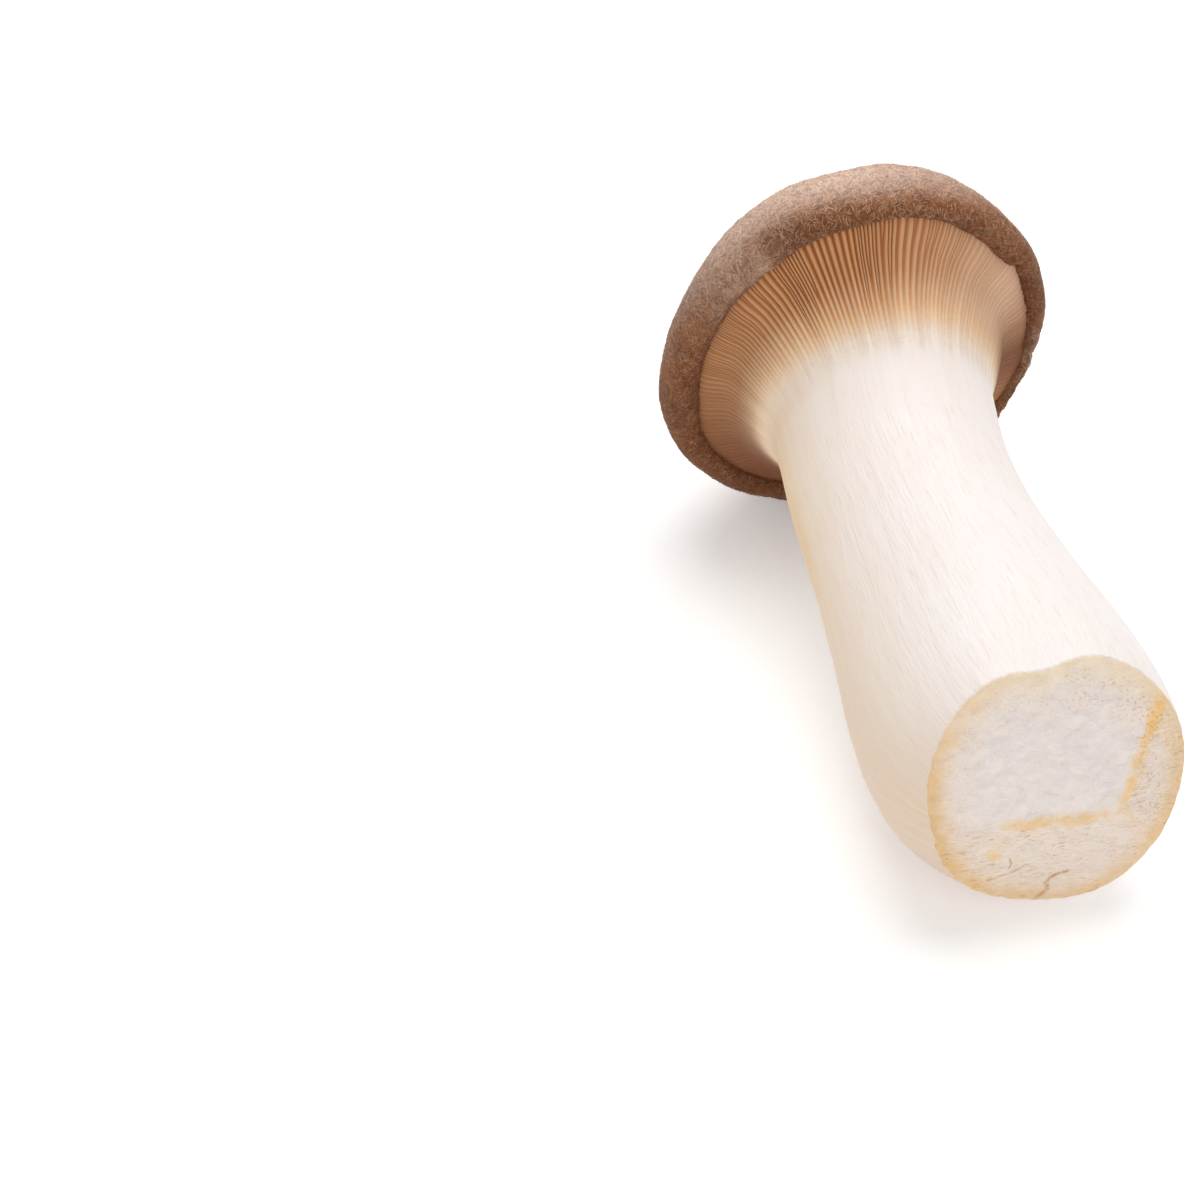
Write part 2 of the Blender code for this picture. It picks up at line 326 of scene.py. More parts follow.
def bumps(angles, rows):
    """Several bumps together, from rows of (direction, half angle in degrees, height)."""
    return sum(high * bump(angles, math.radians(a), math.radians(h)) for a, h, high in rows)


def waves(angles, rows):
    """Several waves together, from rows of (how many round, height, phase)."""
    return sum(high * np.sin(count * angles + phase) for count, high, phase in rows)


def axis_frames(places):
    """The axis's centre and its side, up and forward directions at each place."""
    last = AXIS[-1][0]
    inside = np.minimum(places, last)
    near = np.clip(inside - 0.5, AXIS[0][0], last - 1.0)
    centre = smooth_through(AXIS, inside)
    ahead = smooth_through(AXIS, near + 1.0) - smooth_through(AXIS, near)
    tangent = np.stack([ahead[..., 0], np.ones_like(places), ahead[..., 1]], -1)
    tangent /= np.linalg.norm(tangent, axis=-1)[..., None]
    centre = np.stack([centre[..., 0], inside, centre[..., 1]], -1)
    centre = centre + tangent * (places - inside)[..., None]
    side = np.cross(tangent, (0.0, 0.0, 1.0))
    side /= np.linalg.norm(side, axis=-1)[..., None]
    return centre, side, np.cross(side, tangent), tangent


def cap_share(places):
    """0 on the stem, 1 on the cap."""
    return smooth_step(90.0, 99.0, places)


def radius_share(places, angles):
    """How much wider or narrower than its profile the skin is."""
    oval = CAP_OVAL_WIDE * np.cos(2 * angles) + CAP_OVAL_LEANING * np.sin(2 * angles)
    shift = -CAP_SHIFT_SIDE * np.cos(angles) - CAP_SHIFT_DOWN * np.sin(angles)
    foot = smooth_through(FOOT_ROUND, np.minimum(places, 44.0))[..., 0]
    rounded = foot * (0.5 + 0.5 * np.cos(angles - FOOT_ROUND_TOWARDS)) ** 1.6
    fade = np.clip(1.0 - np.maximum(places, 0.0) / FOOT_CORNER_LENGTH, 0.0, 1.0)
    corner = bump(angles, FOOT_CORNER_TOWARDS, FOOT_CORNER_HALF_ANGLE)
    swollen = cap_share(places) * (oval + shift + bumps(angles, CAP_BUMPS))
    return 1.0 + swollen + rounded + FOOT_CORNER_SHARE * fade * corner


def valley(places, angles):
    """Depth of the groove along the top of the foot."""
    fade = np.clip(1.0 - np.maximum(places, 0.0) / VALLEY_LENGTH, 0.0, 1.0) ** 1.5
    return VALLEY_DEPTH * fade * bump(angles, VALLEY_TOWARDS, VALLEY_HALF_ANGLE)


def rim_wave(places, angles, radii):
    """How far the rim's waves push it along the axis."""
    near_rim = np.exp(-(((radii - CAP_RADIUS + 2.0) / 7.0) ** 2)) * cap_share(places)
    return near_rim * (waves(angles, RIM_WAVES) + bumps(angles, RIM_LIFTS))


def rim_swell(places, angles, radii):
    """How far the rim swells outwards."""
    outer = smooth_step(GILL_RADIUS, CAP_RADIUS - 1.0, radii) * cap_share(places)
    return outer * bumps(angles, RIM_SWELLS)


def skin(places, radii, angles, out=0.0, back=0.0):
    """Points of the skin before it is laid on the table, moved out from the axis and back along
    it. The arrays are broadcast together."""
    places, radii, angles = np.broadcast_arrays(places, radii, angles)
    width = radii * radius_share(places, angles) - valley(places, angles) + out
    width = width + rim_swell(places, angles, radii)
    pushed = rim_wave(places, angles, radii) - back
    centre, side, up, tangent = axis_frames(places)
    outward = np.cos(angles)[..., None] * side + np.sin(angles)[..., None] * up
    return centre + width[..., None] * outward + pushed[..., None] * tangent


def facing(up_degrees, side_degrees):
    """A unit direction, in degrees up and sideways from straight ahead of the foot."""
    up, side = math.radians(up_degrees), math.radians(side_degrees)
    x, y = math.sin(side) * math.cos(up), -math.cos(side) * math.cos(up)
    return np.array((x, y, math.sin(up)))


def cut_depth(points):
    """How far each point is beyond each of the knife's cuts. The last axis has one entry a cut."""
    return np.stack([(points - p) @ facing(u, s) for p, u, s in CUTS], -1)


def cut_front(x, z):
    """The cut foot's surface over x and z: y, which cut it is, the other cut nearest to it, and
    how far the ridge between those two is."""
    fronts, slopes = [], []
    for point, up, side in CUTS:
        n = facing(up, side)
        slopes.append((-n[0] / n[1], -n[2] / n[1]))
        fronts.append(point[1] + (x - point[0]) * slopes[-1][0] + (z - point[2]) * slopes[-1][1])
    fronts, slopes = np.stack(fronts, -1), np.array(slopes)
    order = np.argsort(fronts, -1)
    first, second = order[..., -1], order[..., -2]
    heights = np.sort(fronts, -1)
    apart = np.linalg.norm(slopes[first] - slopes[second], axis=-1)
    return heights[..., -1], first, second, (heights[..., -1] - heights[..., -2]) / apart


# Laying the mushroom on the table


class Table:
    """The turn and the shift that lay the skin on the table, as the part's source does."""

    def __init__(self):
        angles = np.linspace(0, 2 * math.pi, 720, endpoint=False)[None, :]
        stem = along(STEM, 120)
        cap = np.vstack([along(RIM, 30), along(TOP, 60)])
        foot = skin(stem[:, :1], stem[:, 1:], angles)
        foot = foot[cut_depth(foot).max(-1) < 0]
        rim = skin(cap[:, :1], cap[:, 1:], angles).reshape(-1, 3)
        a, b = foot[foot[:, 2].argmin()], rim[rim[:, 2].argmin()]
        turn = math.atan2(b[2] - a[2], b[1] - a[1])
        self.pivot, self.cosine, self.sine = a, math.cos(turn), math.sin(turn)
        rim = self.turned(rim)
        low, high = (np.array(corner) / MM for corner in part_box("mushroom"))
        across = (low[0] + high[0] - rim[:, 0].min() - rim[:, 0].max()) / 2
        self.shift = np.array((across, high[1] - rim[:, 1].max(), -FLAT_DEPTH))

    def turned(self, points):
        y, z = points[..., 1] - self.pivot[1], points[..., 2] - self.pivot[2]
        ahead = self.pivot[1] + y * self.cosine + z * self.sine
        return np.stack([points[..., 0], ahead, z * self.cosine - y * self.sine], -1)

    def lay(self, points):
        """The points laid on the table, and flattened where they would sink into it."""
        laid = self.turned(points) + self.shift
        laid[..., 2] = np.maximum(laid[..., 2], TABLE_GAP)
        return laid


# Meshes


def grid_faces(rows, columns):
    """Quads of a grid that closes on itself round the columns, facing outward."""
    i = np.arange(rows - 1)[:, None]
    j = np.arange(columns)[None, :]
    k = (j + 1) % columns
    corners = (i * columns + j, (i + 1) * columns + j, (i + 1) * columns + k, i * columns + k)
    return np.stack(np.broadcast_arrays(*corners), -1).reshape(-1, 4)


def add_object(name, data):
    made = bpy.data.objects.new(name, data)
    bpy.context.scene.collection.objects.link(made)
    return made


def mesh_object(name, points, faces, attributes, material):
    """A smooth mesh piece from points in mm. Faces are arrays of corners, one array for quads and
    one for triangles. An attribute has a number or a vector for each point."""
    data = bpy.data.meshes.new(name)
    points = np.asarray(points, np.float64).reshape(-1, 3) * MM
    sizes = np.concatenate([np.full(len(group), group.shape[1]) for group in faces])
    loops = np.concatenate([group.ravel() for group in faces])
    data.vertices.add(len(points))
    data.vertices.foreach_set("co", points.ravel())
    data.loops.add(len(loops))
    data.loops.foreach_set("vertex_index", loops.astype(np.int32))
    data.polygons.add(len(sizes))
    starts = np.concatenate([[0], np.cumsum(sizes)[:-1]])
    data.polygons.foreach_set("loop_start", starts.astype(np.int32))
    data.polygons.foreach_set("loop_total", sizes.astype(np.int32))
    data.polygons.foreach_set("use_smooth", np.full(len(sizes), True))
    for key, values in attributes.items():
        values = np.asarray(values, np.float32)
        is_vector = values.size == 3 * len(points)
        layer = data.attributes.new(key, "FLOAT_VECTOR" if is_vector else "FLOAT", "POINT")
        layer.data.foreach_set("vector" if is_vector else "value", values.ravel())
    data.update(calc_edges=True)
    data.validate()
    data.materials.append(material)
    return add_object(name, data)


# Shader building


class Shader:
    """Short calls for a material's nodes."""

    def __init__(self, name):
        self.material = bpy.data.materials.new(name)
        self.material.use_nodes = True
        self.tree = self.material.node_tree
        self.shader = self.tree.nodes["Principled BSDF"]

    def node(self, kind, **settings):
        made = self.tree.nodes.new(kind)
        for key, value in settings.items():
            setattr(made, key, value)
        return made

    def link(self, source, target):
        self.tree.links.new(source, target)

    def feed(self, socket, value):
        """Joins an output to the socket, or sets the socket to a number or a colour."""
        if isinstance(value, bpy.types.NodeSocket):
            self.link(value, socket)
        elif isinstance(value, tuple):
            socket.default_value = (*value, 1.0)
        else:
            socket.default_value = value

    def fill(self, made, **values):
        for key, value in values.items():
            self.feed(made.inputs[key.replace("_", " ")], value)

    def attribute(self, name, vector=False):
        made = self.node("ShaderNodeAttribute", attribute_name=name)
        return made.outputs["Vector" if vector else "Fac"]

    def math(self, operation, first, second):
        made = self.node("ShaderNodeMath", operation=operation)
        self.feed(made.inputs[0], first)
        self.feed(made.inputs[1], second)
        return made.outputs[0]

    def times(self, first, second):
        return self.math("MULTIPLY", first, second)

    def plus(self, first, second):
        return self.math("ADD", first, second)

    def minus(self, first, second):
        return self.math("SUBTRACT", first, second)

    def scaled(self, vector, scale):
        made = self.node("ShaderNodeMapping")
        self.link(vector, made.inputs["Vector"])
        made.inputs["Scale"].default_value = scale
        return made.outputs["Vector"]

    def noise(self, vector, scale, detail=3.0, rough=0.55, distortion=0.0):
        made = self.node("ShaderNodeTexNoise")
        self.fill(made, Vector=vector, Scale=scale, Detail=detail)
        self.fill(made, Roughness=rough, Distortion=distortion)
        return made.outputs["Fac"]

    def ramp(self, value, low, high, to_low=0.0, to_high=1.0):
        """A smooth change from one number to another between two levels of a value."""
        made = self.node("ShaderNodeMapRange", interpolation_type="SMOOTHSTEP")
        self.fill(made, Value=value, From_Min=low, From_Max=high, To_Min=to_low, To_Max=to_high)
        return made.outputs["Result"]

    def mix(self, factor, first, second):
        made = self.node("ShaderNodeMix", data_type="RGBA")
        self.feed(made.inputs["Factor"], factor)
        self.feed(made.inputs[6], first)
        self.feed(made.inputs[7], second)
        return made.outputs[2]

    def stops(self, value, positions, colours):
        """A colour that changes evenly from stop to stop."""
        made = self.node("ShaderNodeValToRGB")
        self.link(value, made.inputs["Fac"])
        elements = made.color_ramp.elements
        while len(elements) < len(colours):
            elements.new(0.5)
        for element, position, colour in zip(elements, positions, colours):
            element.position = position
            element.color = (*srgb(*colour), 1.0)
        return made.outputs["Color"]

    def bump(self, height, distance_mm, strength=1.0):
        made = self.node("ShaderNodeBump")
        self.fill(made, Height=height, Distance=distance_mm * MM, Strength=strength)
        return made.outputs["Normal"]

    def set(self, **values):
        """The material, with values for the inputs of its shader."""
        self.fill(self.shader, **values)
        return self.material


def srgb(red, green, blue):
    """A colour given as it looks, 0 to 255, as the linear values that a shader takes."""
    values = np.array((red, green, blue)) / 255.0
    linear = np.where(values <= 0.04045, values / 12.92, ((values + 0.055) / 1.055) ** 2.4)
    return tuple(float(v) for v in linear)


# Colours, given as they look
CAP_MIDDLE = srgb(182, 134, 101)
CAP_OUTER = srgb(168, 112, 75)
CAP_BLOTCH = srgb(128, 80, 49)
ROLL = srgb(148, 94, 58)
ROLL_BLOTCH = srgb(102, 60, 36)
# Painted shade on the cap
CAP_SHADE = srgb(80, 44, 22)
DARK_PATCH = srgb(104, 65, 43)
LIGHT_PATCH = srgb(194, 148, 116)
SCUFF = srgb(222, 188, 156)
# Painted highlight on the rim's lit upper side, and its paler patches
HIGHLIGHT_SKIN = srgb(242, 209, 187)
MESH_DARK = srgb(94, 55, 34)
MESH_CURL = srgb(208, 162, 130)
LIP = srgb(170, 104, 56)
# Painted highlight on the felt of the rim's lit upper side, and its paler patches
HIGHLIGHT_FELT = srgb(253, 233, 219)
FELT_DARK = srgb(96, 57, 36)
FELT_LIGHT = srgb(236, 200, 174)
FLESH = srgb(246, 240, 238)
FLESH_CLOUD = srgb(244, 234, 229)
# Painted warm shade on the stem's shaded left side, and a little tan round the neck
FLESH_TAN = srgb(236, 205, 162)
# Painted shade low on the stem
FLESH_SHADE = srgb(211, 184, 162)
FLESH_STREAK = srgb(238, 222, 208)
FLESH_FIBRIL = srgb(230, 210, 193)
FACE = srgb(243, 232, 227)
FACE_CLOUD = srgb(247, 236, 228)
# Painted shade in the hollows of the cut face's fluff, and painted highlight on its raised parts
FLUFF_SHADE = srgb(233, 213, 200)
FLUFF_HIGHLIGHT = srgb(250, 246, 243)
FACET = srgb(250, 230, 210)
RING = srgb(247, 228, 210)
FACET_FIBRE = srgb(240, 205, 168)
EDGE_PALE = srgb(255, 241, 220)
EDGE_OCHRE = srgb(243, 202, 144)
RIND = srgb(228, 186, 134)
RIDGE_YELLOW = srgb(252, 208, 136)
PIT = srgb(216, 162, 102)
CRACK = srgb(206, 146, 88)
GILL_TONE = srgb(178, 118, 72)
GILL_GRAIN = srgb(190, 140, 98)
# Painted highlight on the gills' lit right side
GILL_HIGHLIGHT = srgb(230, 194, 166)
# Painted shade on the gills
GILL_SHADE = srgb(106, 52, 14)
# Painted warm shade where the gills meet the stem's shaded left side
GILL_TAN = srgb(232, 203, 168)
# Through the gills, from the stem outwards
GILL_REACHES = (0.24, 0.38, 0.47, 0.59, 0.68, 0.80, 1.0)
CREST_COLOURS = [
    (248, 240, 232),
    (246, 234, 222),
    (244, 221, 195),
    (240, 206, 168),
    (233, 197, 160),
    (222, 175, 131),
    (210, 156, 108),
]
# The grooves: the gills' own colour, darkened with painted shade in the grooves
GROOVE_COLOURS = [
    (248, 239, 229),
    (246, 228, 206),
    (243, 205, 160),
    (233, 179, 121),
    (220, 157, 95),
    (192, 118, 50),
    (170, 96, 36),
]
SHEEN_TINT = (1.0, 0.84, 0.74)


# Materials


def cap_colour(s, highlight_and_wear):
    """Brown felt: paler at the middle of the top and where it is scuffed, darker inside the roll.
    Painted highlight makes the rim's lit upper side pale, with paler patches; painted shade darkens
    the rim's lower left and the roll's hollow, with a darker patch on the right. Also the place
    that its pattern follows."""
    place = s.attribute("place", True)
    out = s.attribute("out")
    blotch = s.noise(place, 0.10, 4.0, 0.62, 0.4)
    patch = s.noise(place, 0.40, 4.0, 0.65, 0.6)
    top = s.mix(s.ramp(out, 0.05, 0.95), CAP_MIDDLE, CAP_OUTER)
    top = s.mix(s.ramp(blotch, 0.42, 0.66, 0.0, 0.6), top, CAP_BLOTCH)
    colour = s.mix(s.attribute("inner"), top, ROLL)
    dull = s.times(s.ramp(blotch, 0.42, 0.66, 0.0, 0.45), s.attribute("inner"))
    colour = s.mix(dull, colour, ROLL_BLOTCH)
    # Painted highlight: pale on the rim's lit upper side, and paler patches
    colour = s.mix(s.attribute("pale"), colour, highlight_and_wear)
    # Painted shade at the rim's lower left and in the roll's hollow, and a darker patch on the right
    colour = s.mix(s.attribute("shade"), colour, CAP_SHADE)
    even = s.ramp(s.attribute("pale"), 0.2, 0.8, 1.0, 0.2)
    dark = s.times(s.ramp(patch, 0.46, 0.70, 0.0, 0.45), even)
    colour = s.mix(dark, colour, DARK_PATCH)
    colour = s.mix(s.ramp(patch, 0.44, 0.26, 0.0, 0.25), colour, LIGHT_PATCH)
    return s.mix(s.attribute("scuff"), colour, SCUFF), place


def cap_material():
    s = Shader("cap_skin")
    colour, place = cap_colour(s, HIGHLIGHT_SKIN)
    mesh = s.noise(place, 1.5, 3.0, 0.6, 1.2)
    colour = s.mix(s.ramp(mesh, 0.45, 0.62, 0.0, 0.42), colour, MESH_DARK)
    curls = s.times(s.ramp(mesh, 0.48, 0.34, 0.0, 0.55), s.attribute("inner"))
    colour = s.mix(curls, colour, MESH_CURL)
    colour = s.mix(s.attribute("lip"), colour, LIP)
    return s.set(
        Base_Color=colour,
        Roughness=0.95,
        Specular_IOR_Level=0.0,
        Sheen_Weight=0.15,
        Sheen_Roughness=0.4,
        Sheen_Tint=SHEEN_TINT,
        Normal=s.bump(mesh, 0.35),
    )


def felt_material():
    s = Shader("cap_felt")
    colour, _ = cap_colour(s, HIGHLIGHT_FELT)
    tone = s.attribute("tone")
    colour = s.mix(s.ramp(tone, 0.40, 0.0, 0.0, 0.50), colour, FELT_DARK)
    # Light fibres, lighter on the lit upper side as painted highlight and less light inside the roll
    # as painted shade
    light = s.times(s.ramp(tone, 0.35, 0.85, 0.0, 0.45), s.attribute("fibre_light"))
    colour = s.mix(light, colour, FELT_LIGHT)
    return s.set(
        Base_Color=colour,
        Roughness=0.8,
        Specular_IOR_Level=0.05,
        Sheen_Weight=0.16,
        Sheen_Roughness=0.4,
        Sheen_Tint=SHEEN_TINT,
    )


def flesh_colour(s, fibres):
    """The stem's creamy white; tan along its shaded left side as painted warm shade, for light
    glowing through the flesh, and a little round the neck; painted shade below; with streaks and
    faint fibrils. Also those two patterns."""
    streak = s.noise(s.scaled(fibres, (1.0, 1.0, 0.06)), 0.55, 4.0, 0.6)
    fine = s.noise(s.scaled(fibres, (1.0, 1.0, 0.08)), 2.1, 2.0, 0.6, 0.5)
    cloud = s.noise(fibres, 0.055, 3.0, 0.5)
    colour = s.mix(s.ramp(cloud, 0.36, 0.66, 0.0, 0.5), FLESH, FLESH_CLOUD)
    # Painted warm shade: tan along the shaded left side for light glowing through the flesh, and a
    # little round the neck
    warm = s.times(s.attribute("warm"), s.ramp(streak, 0.30, 0.62, 0.86, 1.08))
    colour = s.mix(warm, colour, FLESH_TAN)
    # Painted shade low on the stem
    colour = s.mix(s.attribute("under"), colour, FLESH_SHADE)
    colour = s.mix(s.ramp(streak, 0.50, 0.72, 0.0, 0.22), colour, FLESH_STREAK)
    return s.mix(s.ramp(fine, 0.50, 0.75, 0.0, 0.30), colour, FLESH_FIBRIL), streak, fine


def face_edges(s, place, colour):
    """The colour with an ochre border along the face's edge and yellow wear along its ridges."""
    border = s.attribute("border")
    edge = s.ramp(s.noise(place, 0.25, 3.0, 0.55), 0.30, 0.60, 0.70, 1.0)
    rim = s.mix(s.attribute("ochre"), EDGE_PALE, EDGE_OCHRE)
    colour = s.mix(s.times(border, edge), colour, rim)
    # The rind's tan, only where the skin is painted with warm shade
    rind = s.times(s.math("POWER", border, 5.0), s.attribute("warm"))
    colour = s.mix(s.times(rind, 0.6), colour, RIND)
    highlight_and_wear = s.ramp(s.noise(place, 0.30, 3.0, 0.6), 0.36, 0.56, 0.25, 1.0)
    return s.mix(s.times(s.attribute("ridge"), highlight_and_wear), colour, RIDGE_YELLOW)


def face_marks(s, place, facet, wander):
    """0 to 1: small pits in the ring, and dashes on the lower facets."""
    some = s.ramp(s.noise(place, 0.30, 2.0, 0.5), 0.38, 0.54)
    pits = s.ramp(s.noise(s.scaled(place, (1.7, 0.8, 2.4)), 1.0, 2.0, 0.6, 0.5), 0.56, 0.64)
    pits = s.times(pits, s.times(some, s.attribute("pitted")))
    dashes = s.ramp(s.noise(s.scaled(place, (0.6, 0.8, 2.6)), 1.0, 2.0, 0.6, 0.5), 0.58, 0.66)
    dashes = s.times(dashes, s.times(facet, s.ramp(wander, 0.42, 0.56)))
    return s.math("MAXIMUM", pits, dashes)


def cut_colour(s, place):
    """The cut face: near white in the middle, with painted shade in the hollows of its fluff and
    painted highlight on its raised parts, a ring of small tan pits, an ochre border, fibrous lower
    facets, yellow along the ridges, and brown cracks. Also the patterns of its relief."""
    facet = s.attribute("facet")
    cloud = s.noise(place, 0.16, 4.0, 0.6, 0.5)
    colour = s.mix(s.ramp(cloud, 0.36, 0.66), FACE, FACE_CLOUD)
    fluff = s.noise(s.scaled(place, (0.8, 1.0, 1.1)), 0.42, 6.0, 0.68, 1.2)
    # Painted shade in the hollows of the fluff, painted highlight on its raised parts
    colour = s.mix(s.ramp(fluff, 0.50, 0.72, 0.0, 0.45), colour, FLUFF_SHADE)
    colour = s.mix(s.ramp(fluff, 0.47, 0.30, 0.0, 0.55), colour, FLUFF_HIGHLIGHT)
    colour = s.mix(s.times(facet, 0.5), colour, FACET)
    wander = s.noise(place, 0.33, 3.0, 0.6, 0.4)
    near = s.times(s.attribute("ring"), s.ramp(wander, 0.34, 0.60))
    colour = s.mix(s.times(near, 0.5), colour, RING)
    crossing = s.noise(s.scaled(place, (0.35, 1.0, 1.5)), 1.5, 4.0, 0.65, 0.5)
    fibrous = s.times(facet, s.ramp(crossing, 0.50, 0.72, 0.0, 0.55))
    colour = s.mix(fibrous, colour, FACET_FIBRE)
    colour = face_edges(s, place, colour)
    marks = face_marks(s, place, facet, wander)
    colour = s.mix(s.times(marks, 0.65), colour, PIT)
    broken = s.ramp(s.noise(place, 0.9, 3.0, 0.6), 0.36, 0.58, 0.35, 1.0)
    crack = s.times(s.attribute("crack"), broken)
    return s.mix(crack, colour, CRACK), marks, crossing, fluff


def face_height(s, place, marks, crossing, fluff):
    """The cut face's relief, at the same level as the skin's, so that no line shows between."""
    grain = s.noise(place, 1.7, 4.0, 0.65, 0.3)
    fibrous = s.times(crossing, s.attribute("facet"))
    height = s.plus(s.times(grain, 0.5), fibrous)
    height = s.minus(height, s.times(fluff, 1.5))
    height = s.minus(height, s.times(marks, 0.05))
    height = s.minus(height, s.times(s.attribute("crack"), 0.05))
    return s.plus(height, 0.75)


def stem_material():
    s = Shader("stem_flesh")
    place = s.attribute("place", True)
    skin_colour, streak, fine = flesh_colour(s, s.attribute("fibres", True))
    face_colour, marks, crossing, fluff = cut_colour(s, place)
    cut = s.attribute("cut")
    skin_height = s.plus(s.times(streak, 0.3), s.times(fine, 0.6))
    skin_part = s.times(skin_height, s.minus(1.0, cut))
    face_part = s.times(face_height(s, place, marks, crossing, fluff), cut)
    return s.set(
        Base_Color=s.mix(s.ramp(cut, 0.35, 0.65), skin_colour, face_colour),
        Roughness=0.52,
        Specular_IOR_Level=0.35,
        Normal=s.bump(s.plus(skin_part, face_part), 0.3),
    )


def gill_material():
    s = Shader("gills")
    place = s.attribute("place", True)
    skin_colour, streak, fine = flesh_colour(s, s.attribute("fibres", True))
    sway = s.times(s.minus(streak, 0.5), 0.07)
    reach = s.plus(s.attribute("reach"), sway)
    crest = s.stops(reach, GILL_REACHES, CREST_COLOURS)
    groove = s.stops(reach, GILL_REACHES, GROOVE_COLOURS)
    # Painted shade in the grooves over the gills' own colour, strongest on the upper left
    depth = s.times(s.ramp(s.attribute("edge"), 0.90, 0.05), s.attribute("contrast"))
    colour = s.mix(depth, crest, groove)
    colour = s.mix(s.times(s.attribute("tone"), 0.22), colour, GILL_TONE)
    grain = s.noise(place, 1.1, 4.0, 0.6)
    colour = s.mix(s.ramp(grain, 0.45, 0.75, 0.0, 0.15), colour, GILL_GRAIN)
    # Painted highlight on the gills' lit right side
    pale = s.ramp(reach, 0.52, 0.78, 0.0, 0.7)
    colour = s.mix(s.times(s.attribute("pale"), pale), colour, GILL_HIGHLIGHT)
    # Painted shade at the lower left and the lower right
    gloom = s.times(s.attribute("shade"), s.ramp(reach, 0.36, 0.72))
    colour = s.mix(gloom, colour, GILL_SHADE)
    colour = s.mix(s.ramp(reach, 0.18, 0.34), skin_colour, colour)
    # Painted warm shade where the gills meet the stem's shaded left side
    tan = s.times(s.ramp(reach, 0.60, 0.34), s.ramp(reach, 0.04, 0.30))
    tan = s.times(tan, s.attribute("warm"))
    colour = s.mix(tan, colour, GILL_TAN)
    height = s.plus(s.times(grain, 0.4), s.times(streak, 0.6))
    height = s.plus(height, s.times(fine, 0.4))
    return s.set(
        Base_Color=colour,
        Roughness=0.6,
        Specular_IOR_Level=0.3,
        Normal=s.bump(height, 0.15, 0.7),
    )


# The cap


def lip(angles):
    """How far in mm the rolled rim leans in over the gills, by direction."""
    return bumps(angles, LIP_FOLDS) + waves(angles, LIP_WAVES)


def creases(angles, inner):
    """Depth in mm of the folds that cross the roll."""
    slanted = angles + 0.05 * (inner - 0.5)
    return bumps(slanted, CREASES) * smooth_step(0.1, 0.6, inner)


def dimples(points):
    """Soft unevenness of the cap in mm, from waves through space."""
    x, y, z = (points[..., k] for k in range(3))
    value = 0.12 * np.sin(0.33 * x + 0.21 * z + 1.0) * np.sin(0.27 * z - 0.18 * x + 0.3 * y)
    value = value + 0.09 * np.sin(0.71 * x - 0.52 * z + 2.0) * np.sin(0.63 * z + 0.4 * y + 0.5)
    return value + 0.06 * np.sin(1.5 * x + 1.1 * y + 0.4) * np.sin(1.3 * z - 0.9 * y + 1.7)


def outward_of(points):
    """Unit directions out of a grid of points that closes round its second axis."""
    across = np.roll(points, -1, 1) - np.roll(points, 1, 1)
    down = np.gradient(points, axis=0)
    normal = np.cross(down, across)
    return normal / (np.linalg.norm(normal, axis=-1)[..., None] + 1e-9)


